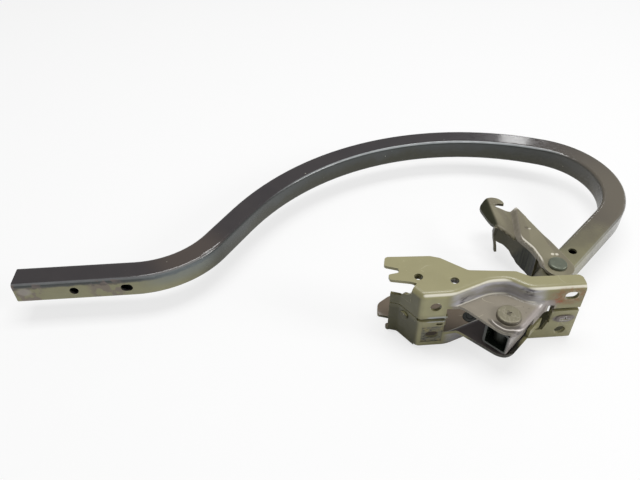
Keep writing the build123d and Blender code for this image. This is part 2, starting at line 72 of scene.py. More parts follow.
class Finish:
    """A procedural finish; places are in millimetres of the hinge's own frame."""

    def __init__(self, name):
        self.material = bpy.data.materials.new(name)
        self.material.use_nodes = True
        self.tree = self.material.node_tree
        self.shader = self.tree.nodes["Principled BSDF"]
        object_place = self.node("ShaderNodeTexCoord", {}, {}, "Object")
        self.place = self.vector("SCALE", {0: object_place, "Scale": 1000.0})
        self.x, self.y, self.z = self.parts(self.place)
        self.facing = self.parts(self.node("ShaderNodeTexCoord", {}, {}, "Normal"))

    def node(self, kind, settings, inputs, output=0):
        made = self.tree.nodes.new(kind)
        for key, value in settings.items():
            setattr(made, key, value)
        for key, value in inputs.items():
            self.feed(made.inputs[key], value)
        return Level(self, made.outputs[output])

    def feed(self, socket, value):
        if isinstance(value, Level):
            self.tree.links.new(value.socket, socket)
        elif isinstance(value, tuple) and socket.type == "RGBA":
            socket.default_value = (*value, 1.0)
        else:
            socket.default_value = value

    def vector(self, operation, inputs, output=0):
        return self.node("ShaderNodeVectorMath", {"operation": operation}, inputs, output)

    def parts(self, vector):
        split = self.node("ShaderNodeSeparateXYZ", {}, {0: vector}).socket.node
        return [Level(self, out) for out in split.outputs]

    def noise(self, size, detail=2.0, stretch=None, shift=0.0):
        """Noise from 0 to 1 whose blots are about size millimetres across."""
        spread = {"Scale": stretch or (1.0, 1.0, 1.0), "Location": (shift, 0.0, 0.0)}
        place = self.node("ShaderNodeMapping", {}, {"Vector": self.place, **spread})
        return self.node("ShaderNodeTexNoise", {}, {"Vector": place, "Scale": 1.0 / size, "Detail": detail})

    def step(self, level, low, high, bottom=0.0, top=1.0):
        """Smooth step of a level from bottom at low to top at high."""
        settings = {"interpolation_type": "SMOOTHSTEP"}
        return self.node("ShaderNodeMapRange", settings, {0: level, 1: low, 2: high, 3: bottom, 4: top})

    def band(self, level, middle, outer, inner):
        """1 while the level is within inner of the middle, 0 past outer."""
        return self.step((level - middle).math("ABSOLUTE"), outer, inner)

    def near(self, centre, inner, outer, squash=(1.0, 1.0, 1.0)):
        """1 inside the inner radius of a place, 0 past the outer one."""
        away = self.vector("SUBTRACT", {0: self.place, 1: centre})
        away = self.vector("MULTIPLY", {0: away, 1: squash})
        length = self.vector("LENGTH", {0: away}, "Value")
        return self.step(length, inner, outer, 1.0, 0.0)

    def mix(self, mask, below, above):
        """The colour above lies over the one below where the mask is 1."""
        settings = {"data_type": "RGBA", "clamp_factor": True}
        return self.node("ShaderNodeMix", settings, {0: mask, 6: below, 7: above}, 2)

    def mottled(self, first, second, size, detail=2.0, stretch=None, shift=0.0):
        """Two tones, 0 to 255, that run into each other in blots of about size millimetres."""
        return self.mix(self.noise(size, detail, stretch, shift), shade(*first), shade(*second))

    def bevel(self, reach):
        """The direction a face looks in, as if its edges were rounded by reach millimetres."""
        return self.node("ShaderNodeBevel", {"samples": 6}, {"Radius": reach / 1000.0}, "Normal")

    def worn_edge(self, reach, low=0.03, high=0.16):
        """1 along the sharp edges of the sheet, gone within the reach in millimetres."""
        flat = self.node("ShaderNodeNewGeometry", {}, {}, "Normal")
        same = self.vector("DOT_PRODUCT", {0: self.bevel(reach), 1: flat}, "Value")
        return self.step(1.0 - same, low, high)

    def scratches(self, size, stretch, shift, width=0.012):
        """Thin wavering lines where a stretched noise passes its middle."""
        off_middle = (self.noise(size, 1.0, stretch, shift) - 0.5).math("ABSOLUTE")
        return self.step(off_middle, width, width * 0.4)

    def specks(self, spacing, size, share):
        """Round specks; share is how many of the cells hold one."""
        cells = {"Vector": self.place, "Scale": 1.0 / spacing, "Randomness": 1.0}
        away = self.node("ShaderNodeTexVoronoi", {}, cells, "Distance")
        pick = self.parts(self.node("ShaderNodeTexVoronoi", {}, cells, "Color"))[0]
        return self.step(away * spacing, size, size * 0.6) * self.step(pick, share, share * 0.9)

    def dress(self, colour, roughness, grain, depth,
              metallic=0.0, coat=0.0, specular=0.3, coat_roughness=0.2):
        """Wires the finish up; the grain is a relief of that depth in metres, edges look broken."""
        shader = self.shader.inputs
        self.feed(shader["Base Color"], colour)
        self.feed(shader["Roughness"], roughness)
        self.feed(shader["Metallic"], metallic)
        self.feed(shader["Coat Weight"], coat)
        shader["Coat Roughness"].default_value = coat_roughness
        shader["Specular IOR Level"].default_value = specular
        relief = {"Strength": 1.0, "Distance": depth, "Height": grain, "Normal": self.bevel(0.35)}
        self.feed(shader["Normal"], self.node("ShaderNodeBump", {}, relief, "Normal"))
        return self.material


def shade(red, green, blue):
    """Linear colour from the 0 to 255 values seen in a picture."""
    levels = [value / 255.0 for value in (red, green, blue)]
    return tuple(v / 12.92 if v <= 0.04045 else ((v + 0.055) / 1.055) ** 2.4 for v in levels)


def paint(node, material):
    """The CAD node wears this finish all over."""
    piece = nodes[node]
    piece.data.materials.clear()
    piece.data.materials.append(material)


axle_y = -12.0
stem_lean = math.radians(42.4)


def across_stem(f):
    """Distance from the upright plane along the middle of the stem, positive on the stop's side."""
    return f.x * math.sin(stem_lean) - (f.y - axle_y) * math.cos(stem_lean)


def arm_paint():
    f = Finish("arm_paint")
    ny, nz = f.facing[1:]
    top = f.step(nz, 0.35, 0.8)
    front = f.step(ny, -0.55, -0.85)
    primer = f.mottled((147, 144, 110), (133, 130, 99), 14.0, 3.0)
    stem_primer = f.mottled((139, 135, 105), (123, 119, 92), 14.0, 3.0, shift=4.0)
    primer = f.mix(f.step(f.x, -100.0, 0.0), primer, stem_primer)

    # grey spray over the primer, darkest on top and browner towards the bow
    height = f.z + f.noise(26.0, 3.0, shift=20.0) * 16.0 - 8.0
    spray = f.mottled((67, 71, 70), (53, 56, 54), 30.0, 3.0)
    spray = f.mix(f.step(height, 7.0, -5.0), spray, shade(48, 48, 33))
    spray = f.mix(top, spray, f.mottled((50, 47, 50), (62, 58, 58), 22.0, 4.0, shift=3.0))
    warm = f.step(f.x, 40.0, 140.0) * f.step(f.y, 265.0, 130.0)
    spray = f.mix(warm * (0.45 + top * 0.5), spray, shade(101, 95, 84))
    swan = top * f.near((-235.0, 80.0, 10.0), 14.0, 44.0)
    spray = f.mix(swan * 0.55, spray, shade(86, 76, 68))

    # bare primer on the stem and low on the front of the lid end, painted highlight lines on the corners
    bare_stem = f.step(f.x, 26.0, 58.0) * f.step(f.y + f.noise(20.0, 3.0) * 50.0, 128.0, 46.0)
    low_front = f.step(f.z + f.noise(9.0, 3.0) * 3.0, 8.2, 5.6)
    lid_front = front * f.step(f.x + f.noise(16.0, 3.0) * 24.0, -180.0, -250.0) * low_front
    thin = (bare_stem + lid_front).math("MINIMUM", 1.0)
    colour = f.mix(thin, spray, primer)
    # painted highlight: a pale line along the rounded corners between top and front, fainter at the lid end
    corner_highlight = f.step(nz * ny * -2.0, 0.6, 0.96) * f.step(f.x, -255.0, -190.0, 0.35, 1.0)
    colour = f.mix(corner_highlight * (0.45 + f.noise(10.0, 3.0, shift=7.0) * 0.55), colour, shade(176, 181, 182))
    # painted sheen: a paler bluish band high on the front face by the swan neck
    swan_front_sheen = front * f.near((-235.0, 64.0, 2.0), 16.0, 46.0) * f.step(f.z, -8.0, 4.0)
    colour = f.mix(swan_front_sheen * 0.6, colour, shade(112, 120, 122))

    # rubbed by the washers of the two lid screws
    rubbed = f.near((-363.0, 54.0, -0.5), 14.0, 25.0, (1.0, 0.4, 1.6))
    rubbed = rubbed + f.near((-298.0, 54.0, 0.0), 9.0, 17.0, (1.0, 0.4, 1.0))
    rubbed = (rubbed * front).math("MINIMUM", 1.0)
    brown = rubbed * f.step(f.noise(7.0, 4.0, shift=31.0), 0.44, 0.54)
    colour = f.mix(brown * 0.75, colour, shade(118, 104, 98))
    dark_line = rubbed * f.band(f.z, 5.0, 1.6, 0.7) * f.step(f.noise(5.0, 3.0, shift=18.0), 0.42, 0.52)
    colour = f.mix(dark_line * 0.7, colour, shade(84, 76, 70))
    blot = f.near((-361.5, 54.0, 1.6), 2.6, 5.4, (0.75, 0.4, 1.0)) * front
    colour = f.mix(blot * 0.6, colour, shade(166, 160, 152))

    # worn side by the axle; painted shade on the tube's end under the ears and inside the tube
    across = across_stem(f)
    near_axle = f.step(f.x, 34.0, 22.0) * f.step(across, 8.0, 9.4)
    rubbed_stem = f.mottled((150, 143, 140), (128, 122, 116), 5.0, 3.0, (1.0, 1.0, 3.0))
    colour = f.mix(near_axle, colour, rubbed_stem)
    end_shade = f.step(f.x, 16.0, 4.0) * f.step(f.y, 6.0, -4.0) * (1.0 - near_axle)
    colour = f.mix(end_shade * 0.9, colour, shade(40, 43, 38))
    bore = (8.3, 8.1)
    inside = f.band(f.z, 0.0, *bore)
    lid_inside = inside * f.band(f.y, 64.26, *bore) * f.step(f.x, -275.0, -285.0)
    stem_inside = inside * f.band(across, 0.0, *bore) * f.step(f.y, 110.0, 100.0)
    hollow_shade = (lid_inside + stem_inside).math("MINIMUM", 1.0)
    colour = f.mix(hollow_shade, colour, f.mottled((22, 26, 22), (44, 52, 44), 6.0, 3.0))

    # wear
    chips = f.specks(9.0, 0.75, 0.16) * f.step(f.noise(40.0), 0.42, 0.55)
    colour = f.mix(chips * 0.8, colour, shade(176, 174, 160))
    edge = f.worn_edge(0.5) * f.step(f.noise(6.0, 3.0, shift=12.0), 0.35, 0.6) * (1.0 - end_shade)
    colour = f.mix(edge * 0.22, colour, shade(170, 166, 146))
    roughness = f.noise(5.0, 3.0) * 0.10 + 0.20 + thin * 0.10 + rubbed * 0.1
    grain = f.noise(1.1, 2.0) * 0.3 + f.noise(6.0, 2.0) * 0.7 - chips * 0.5
    return f.dress(colour, roughness, grain, 0.00014, coat=0.4 - hollow_shade * 0.4, coat_roughness=0.09)


paint("hinge_arm", arm_paint())


# Bracket. Two pressed steel halves, each bent from 2.5 mm sheet, lapped at mid height and
# riveted at the left wall, all in one coat of olive primer. The drawn wall of the recess and
# the joggle of the lap are pulled thin and look silvery; rust has started at a bolt hole.
def bracket_coat():
    f = Finish("bracket_coat")
    ny, nz = f.facing[1:]
    outward = f.step(f.z.math("ABSOLUTE"), 27.0, 27.8)
    colour = f.mottled((150, 145, 108), (136, 131, 97), 24.0, 3.0)
    plate_top = f.mottled((153, 148, 114), (141, 136, 104), 16.0, 4.0, shift=6.0)
    colour = f.mix(outward * f.step(nz, 0.3, 0.8), colour, plate_top)
    web = f.step(ny, -0.5, -0.9) * f.step(f.y, 3.0, 1.0)
    colour = f.mix(web, colour, f.mottled((150, 145, 106), (132, 128, 95), 12.0, 4.0, shift=3.0))
    # painted light: the upper left of the web is coloured paler
    web_light_patch = web * f.step(f.x, -38.0, -46.0) * f.step(f.z, 5.0, 8.0)
    colour = f.mix(web_light_patch, colour, f.mottled((170, 166, 124), (146, 142, 106), 9.0, 4.0, shift=4.0))

    # painted shade: the side wall and the faces turned inwards are coloured dark, the floor plate darkest
    # on the right, and the lower ear, the rim below the tube end and the faces turned to the rear or
    # downwards darker
    side_wall_shade = f.band(nz, 0.0, 0.6, 0.3) * f.step(f.x, -59.5, -62.5) * f.step(f.z, 25.5, 23.0)
    colour = f.mix(side_wall_shade, colour, f.mottled((98, 95, 64), (74, 72, 44), 9.0, 4.0))
    lower_side_shade = side_wall_shade * f.step(f.z, 0.0, -3.0)
    colour = f.mix(lower_side_shade * 0.7, colour, f.mottled((62, 59, 22), (46, 44, 12), 7.0, 4.0, shift=8.0))
    floor_plate_shade = f.step(nz, 0.3, 0.8) * f.step(f.z, -24.0, -27.0)
    colour = f.mix(floor_plate_shade, colour, f.mottled((118, 105, 90), (94, 84, 72), 14.0, 3.0))
    colour = f.mix(floor_plate_shade * f.step(f.x, 6.0, 20.0), colour, shade(62, 60, 44))
    lower_ear_shade = f.step(nz, 0.3, 0.8) * f.band(f.z, -12.0, 1.5, 0.8)
    colour = f.mix(lower_ear_shade, colour, shade(92, 84, 84))
    low_rim_shade = f.step(f.z, -6.0, -9.0) * f.step(f.y, -4.0, -10.0) * f.step(f.x, 16.0, 8.0)
    colour = f.mix(low_rim_shade * (1.0 - lower_ear_shade), colour, shade(44, 43, 34))
    back_shade = f.step(ny, 0.4, 0.8) + f.step(nz, -0.4, -0.8)
    colour = f.mix(back_shade * 0.7, colour, shade(112, 107, 78))

    # ear, beige grey, with the streaked stop beside it, a painted highlight by its right corner, and
    # painted dark and bright reflection rings below the axle
    ear = f.step(f.z, 16.6, 15.0) * f.step(f.z, 2.0, 4.0)
    ear = ear * f.band(f.x, 0.0, 39.0, 36.0) * f.step(f.y, 14.0, 12.0)
    beige = f.mottled((142, 135, 121), (128, 121, 109), 10.0, 3.0, shift=2.0)
    colour = f.mix(ear, colour, beige)
    across = across_stem(f)
    stop = f.step(across, 8.6, 11.4) * f.step(f.z, 1.0, 3.0) * f.step(f.z, 16.0, 15.0)
    stop = stop * f.step(f.y, 8.0, 2.0) * f.step(f.x, 42.0, 38.0)
    streaks = f.noise(3.0, 4.0, (0.25, 0.25, 1.6), 11.0)
    stop_tone = f.mix(streaks, shade(168, 160, 156), shade(126, 118, 114))
    colour = f.mix(stop * 0.9, colour, stop_tone)
    # painted highlight by the ear's right corner
    ear_corner_highlight = f.near((26.0, 2.0, 14.5), 3.0, 9.0, (0.8, 1.0, 0.6)) * f.step(nz, 0.3, 0.7)
    highlight_tone = f.mottled((190, 188, 186), (150, 148, 146), 4.0, 3.0, shift=30.0)
    colour = f.mix(ear_corner_highlight * 0.7, colour, highlight_tone)
    flecks = f.specks(3.2, 0.7, 0.5) * f.near((12.0, -8.0, 14.5), 4.0, 11.0) * ear
    colour = f.mix(flecks * 0.5, colour, shade(98, 90, 84))
    behind_pin = f.y - axle_y
    from_pin = (f.x * f.x + behind_pin * behind_pin) ** 0.5 + f.noise(6.0, 2.0) * 1.6
    below_pin = ear * f.step(f.y + f.x * 0.35, -17.0, -20.5)
    # painted reflection: dark and bright rings round the axle on the ear's rounded edge
    dark_reflection_rings = f.band(from_pin, 11.4, 1.5, 0.8) + f.band(from_pin, 15.0, 1.5, 0.7)
    colour = f.mix(below_pin * dark_reflection_rings * 0.75, colour, shade(64, 60, 56))
    bright_reflection_ring = f.band(from_pin, 13.2, 0.5, 0.2) * below_pin
    colour = f.mix(bright_reflection_ring * 0.8, colour, shade(214, 208, 204))

    # drawn wall of the recess
    forward = f.step(ny, -0.1, -0.4)
    wall = f.band(nz, 0.0, 0.92, 0.6) * f.step(f.z.math("ABSOLUTE"), 14.6, 16.0)
    wall = wall * (1.0 - f.step(f.z, 0.0, -2.0) * f.step(f.x, 10.0, 16.0))
    wall = wall * f.band(f.z, 0.0, 27.2, 25.0) * f.step(f.x, -42.0, -33.0)
    wall = wall * f.step(f.x, 33.0, 25.0) * forward
    drawn = f.noise(7.0, 4.0, (0.35, 0.5, 1.4), 14.0)
    silver = f.mottled((196, 194, 200), (160, 157, 162), 3.0, 3.0, (0.3, 0.5, 1.6), 24.0)
    colour = f.mix(wall * (0.55 + f.step(drawn, 0.34, 0.62) * 0.45), colour, silver)
    smudge = f.near((-27.0, 0.0, 17.0), 3.0, 10.0, (0.7, 1.0, 1.3))
    smudge = smudge + f.near((19.0, 2.0, 24.0), 2.0, 7.0, (0.7, 1.0, 1.0))
    smudge = (smudge * f.step(f.noise(5.0, 4.0, (0.5, 1.0, 1.3), 21.0), 0.4, 0.58)).math("MINIMUM", 1.0)
    colour = f.mix(smudge * wall * 0.85, colour, shade(74, 70, 76))
    # painted highlight: a near white line on the bends that face half up and half forward, kept off the
    # ear's right corner
    bend_highlight = f.step(ny * nz * -2.0, 0.84, 0.995) * f.step(f.z, 12.0, 14.0)
    bend_highlight = bend_highlight * (1.0 - f.near((28.0, 0.0, 14.5), 3.0, 8.0))
    colour = f.mix(bend_highlight * 0.9, colour, shade(226, 222, 206))

    # joggle of the lap and the scuffed recess panel below it
    joggle = f.band(f.z, 2.0, 3.8, 2.2) * f.step(f.x, -56.0, -52.0) * f.step(f.x, -38.0, -42.0)
    joggle = joggle * forward
    colour = f.mix(joggle * (0.4 + f.noise(6.0, 3.0, shift=5.0) * 0.6), colour, shade(176, 182, 186))
    panel = f.band(f.x, -49.5, 8.4, 7.6) * f.band(f.z, -14.5, 9.0, 8.2) * web
    colour = f.mix(panel * 0.75, colour, f.mottled((112, 111, 98), (74, 73, 64), 4.0, 4.0, shift=9.0))
    gold = panel * f.step((f.z + 16.5).math("ABSOLUTE"), 3.4, 5.4)
    gold = gold * f.step(f.noise(5.0, 3.0, shift=27.0), 0.4, 0.6)
    colour = f.mix(gold * 0.7, colour, shade(150, 140, 92))
    scuffs = panel * f.scratches(5.0, (0.5, 1.0, 1.5), 33.0, 0.03)
    colour = f.mix(scuffs * 0.8, colour, shade(58, 54, 50))

    # rust round the upper right hole, and the clinch below it with a painted highlight on its T-shaped slit
    rust_spot = f.near((47.5, 0.0, 18.5), 6.0, 14.0, (0.8, 1.0, 1.3)) * web * f.step(f.z, 4.0, 6.0)
    stain = rust_spot * (0.35 + f.noise(6.0, 4.0, shift=15.0) * 0.6)
    colour = f.mix(stain, colour, shade(128, 104, 72))
    rust = rust_spot * f.step(f.noise(4.0, 5.0, shift=5.0), 0.42, 0.58)
    colour = f.mix(rust * 0.75, colour, shade(146, 110, 76))
    red = f.near((41.5, 0.0, 15.0), 2.0, 5.6) * web * f.step(f.noise(2.4, 4.0, shift=41.0), 0.46, 0.56)
    colour = f.mix(red * 0.75, colour, shade(158, 92, 68))
    bare_ring = f.near((49.5, 0.0, 19.0), 5.2, 6.6, (0.85, 1.0, 1.1)) * web
    bare_ring = bare_ring * f.step(f.noise(2.0, 3.0, shift=13.0), 0.35, 0.6)
    colour = f.mix(bare_ring * 0.55, colour, shade(176, 168, 140))
    clinch = f.near((49.5, 0.0, -5.6), 5.0, 7.4, (0.72, 1.0, 1.6)) * f.step(ny, -0.2, -0.6)
    colour = f.mix(clinch * 0.8, colour, f.mottled((120, 108, 116), (86, 76, 80), 1.6, 3.0))
    # painted highlight in the shape of the slit's T
    cap_highlight = f.band(f.x, 50.3, 4.1, 3.5) * f.band(f.z, -6.5, 1.2, 0.7)
    stem_highlight = f.band(f.x, 50.5, 1.1, 0.6) * f.band(f.z, -5.2, 2.2, 1.7)
    slit_highlight = (cap_highlight + stem_highlight).math("MINIMUM", 1.0) * f.step(f.y, 0.5, 0.2) * f.step(ny, -0.2, -0.6)
    colour = f.mix(slit_highlight, colour, shade(228, 224, 222))

    # wear
    chips = f.specks(7.0, 0.55, 0.14)
    colour = f.mix(chips * 0.7, colour, shade(206, 202, 176))
    dust = f.specks(2.0, 0.36, 0.5) * f.near((-63.0, 31.0, 28.0), 4.0, 13.0, (0.9, 0.7, 1.0)) * outward
    colour = f.mix(dust * 0.7, colour, shade(208, 204, 172))
    lines = f.scratches(26.0, (0.6, 1.0, 1.0), 17.0, 0.004)
    lines = lines * f.step(f.noise(18.0, 2.0, shift=50.0), 0.52, 0.62)
    colour = f.mix(lines * 0.35, colour, shade(196, 192, 168))
    edge = f.worn_edge(0.5) * f.step(f.noise(5.0, 3.0, shift=12.0), 0.3, 0.6)
    colour = f.mix(edge * 0.6, colour, shade(190, 186, 154))
    roughness = f.noise(6.0, 3.0) * 0.12 + 0.27 + rust * 0.3 + scuffs * 0.15 - bend_highlight * 0.08
    grain = f.noise(1.2, 2.0) * 0.3 + f.noise(7.0, 2.0) * 0.7 - chips * 0.4
    grain = grain + rust * f.noise(1.0, 3.0) * 0.8 - scuffs * 0.3
    metallic = (wall * 0.15 + stop * 0.15 + joggle * 0.2).math("MINIMUM", 0.5)
    return f.dress(colour, roughness, grain, 0.00014, metallic=metallic, coat=0.25 - rust * 0.25)


coat = bracket_coat()
paint("bracket_upper", coat)
paint("bracket_lower", coat)
paint("side_rivet", coat)


def metres(points):
    """Places in millimetres, in Blender's metres."""
    return [(x / 1000.0, y / 1000.0, z / 1000.0) for x, y, z in points]


def new_piece(name, points, faces, material, body):
    """Mesh piece from places in millimetres; it rides on a body and wears the given finish."""
    mesh = bpy.data.meshes.new(name)
    mesh.from_pydata(metres(points), [], faces)
    mesh.materials.append(material)
    piece = bpy.data.objects.new(name, mesh)
    bpy.context.scene.collection.objects.link(piece)
    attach(piece, body)
    return piece


def prism_faces(count):
    """Faces between two rings of count points, the second ring above the first."""
    faces = [tuple(range(count - 1, -1, -1)), tuple(range(count, 2 * count))]
    faces += [(i, (i + 1) % count, (i + 1) % count + count, i + count) for i in range(count)]
    return faces


def trimmed(piece, near_ring, far_ring, operation):
    """The piece's mesh after a prism between two rings of places has cut it or kept its inside."""
    prism = bpy.data.meshes.new("prism")
    prism.from_pydata(metres(near_ring + far_ring), [], prism_faces(len(near_ring)))
    tool = bpy.data.objects.new("prism", prism)
    bpy.context.scene.collection.objects.link(tool)
    cut = piece.modifiers.new("cut", "BOOLEAN")
    cut.operation = operation
    cut.solver = "EXACT"
    cut.object = tool
    bpy.context.view_layer.update()
    mesh = bpy.data.meshes.new_from_object(piece.evaluated_get(bpy.context.evaluated_depsgraph_get()))
    piece.modifiers.clear()
    bpy.data.objects.remove(tool)
    return mesh


# Lower half. The web of the lower stamping is open beside the downturned stop, where the blank
# was pierced before pressing so that the stop could be drawn out.
def lower_half():
    half = bpy.data.objects.new("lower_half", nodes["bracket_lower"].data.copy())
    bpy.context.scene.collection.objects.link(half)
    window = [(21.0, 8.0), (39.0, 8.0), (39.0, -5.5), (35.5, -17.6), (23.0, -17.6), (21.0, -13.0)]
    front = [(x, -0.6, z) for x, z in window]
    behind = [(x, 12.0, z) for x, z in window]
    half.data = trimmed(half, front, behind, "DIFFERENCE")
    half.data.shade_smooth()
    half.data.set_sharp_from_angle(angle=math.radians(30.0))
    half.modifiers.new("flat_faces", "WEIGHTED_NORMAL").keep_sharp = True
    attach(half, "bracket")
    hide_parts("bracket_lower")


lower_half()


# Collars. Both holes of the upper plate are drawn through to the inside, so that a screw cuts
# its thread in a deeper wall; seen from above the hole is therefore all metal.
def turned(name, place, profile, steps, material):
    """Piece of the bracket, its profile of radii and heights turned about an upright line."""
    points = []
    faces = []
    count = len(profile)
    for step in range(steps):
        turn = 2.0 * math.pi * step / steps
        points += [(place[0] + r * math.cos(turn), place[1] + r * math.sin(turn), z) for r, z in profile]
        here = step * count
        after = (step + 1) % steps * count
        faces += [(here + i, here + i + 1, after + i + 1, after + i) for i in range(count - 1)]
    return new_piece(name, points, faces, material, "bracket")


def pressed_collar(name, x, y):
    profile = [(3.2, 27.7), (3.25, 26.6), (3.3, 22.2), (3.6, 21.9),
               (4.3, 22.0), (4.7, 22.8), (5.0, 24.6), (5.9, 25.55)]
    collar = turned(name, (x, y), profile, 48, coat)
    collar.data.shade_smooth()


pressed_collar("plate_collar_left", -59.6, 19.6)
pressed_collar("plate_collar_right", -34.2, 13.6)


# Crest of the upper side wall. The wall's edge climbs from its free end to the corner of the
# top plate; it is the same sheet as the upper stamping, pressed in one stroke with it.
def wall_crest():
    corner_x = -60.5
    sheet = 2.5
    along = (-0.5767, 0.8170)
    inward = (0.8170, 0.5767)
    outline = [(10.4, 12.0), (19.9, 12.0), (19.5, 14.4), (17.6, 16.6),
               (14.6, 18.0), (12.2, 20.6), (10.4, 22.6)]
    points = []
    for depth in (0.0, sheet):
        for t, z in outline:
            x = corner_x + along[0] * t + inward[0] * depth
            y = along[1] * t + inward[1] * depth
            points.append((x, y, z))
    count = len(outline)
    faces = [tuple(range(count)), tuple(range(2 * count - 1, count - 1, -1))]
    faces += [(i, i + count, (i + 1) % count + count, (i + 1) % count) for i in range(count)]
    new_piece("wall_crest", points, faces, coat, "bracket")


wall_crest()


# Main axle. A headed steel pin through the ears, upset underneath, zinc dipped and painted
# over with the bracket; the arm turns on two dark flanged bushes pressed into a steel sleeve.
def zinc_steel():
    f = Finish("zinc_steel")
    nz = f.facing[2]
    colour = f.mottled((137, 132, 112), (121, 116, 98), 5.0, 3.0)
    # painted shade on the side of the pin's head
    rim = f.step(nz, 0.85, 0.5)
    colour = f.mix(rim * 0.8, colour, shade(98, 91, 80))
    mark = f.near((-0.2, -11.6, 17.5), 2.3, 3.0, (2.0, 1.0, 0.2))
    colour = f.mix(mark * 0.45, colour, shade(60, 54, 42))
    # painted shade on the shank below the head
    shank_shade = f.step(f.z, 14.0, 13.0)
    colour = f.mix(shank_shade, colour, shade(40, 40, 36))
    edge = f.worn_edge(0.5) * f.step(f.z, 13.0, 14.0)
    colour = f.mix(edge * 0.5, colour, shade(176, 168, 152))
    scuffs = f.scratches(4.0, (1.0, 0.4, 1.0), 3.0, 0.02)
    colour = f.mix(scuffs * 0.25, colour, shade(178, 172, 158))
    return f.dress(colour, f.noise(3.0, 2.0) * 0.12 + 0.30, f.noise(1.0, 2.0), 0.0001, metallic=0.2)


def bush_plastic():
    f = Finish("bush_plastic")
    colour = f.mottled((15, 17, 13), (24, 26, 21), 3.0, 2.0)
    return f.dress(colour, f.noise(2.0, 2.0) * 0.1 + 0.42, f.noise(0.8, 2.0), 0.00005)


# Sleeve and washers: steel coloured dark grey, as painted shade inside the tube and between the parts
def steel_in_shade():
    f = Finish("steel_in_shade")
    colour = f.mottled((58, 60, 54), (36, 38, 34), 4.0, 3.0, (1.0, 1.0, 0.4))
    return f.dress(colour, f.noise(2.0, 2.0) * 0.15 + 0.32, f.noise(0.9, 2.0), 0.00006, metallic=0.4)


paint("pivot_pin", zinc_steel())
plastic = bush_plastic()
paint("pivot_bush_upper", plastic)
paint("pivot_bush_lower", plastic)
steel_shade = steel_in_shade()
paint("pivot_sleeve", steel_shade)


# Floor plug. A black moulded plug closes the hole in the lower plate behind the ears.
def floor_plug():
    profile = [(0.01, -26.6), (2.6, -26.7), (3.0, -27.3), (5.1, -27.4), (5.6, -27.7),
               (5.6, -27.98), (4.4, -28.0), (4.3, -30.3), (0.01, -30.4)]
    turned("floor_plug", (-12.1, 25.6), profile, 36, plastic)


floor_plug()


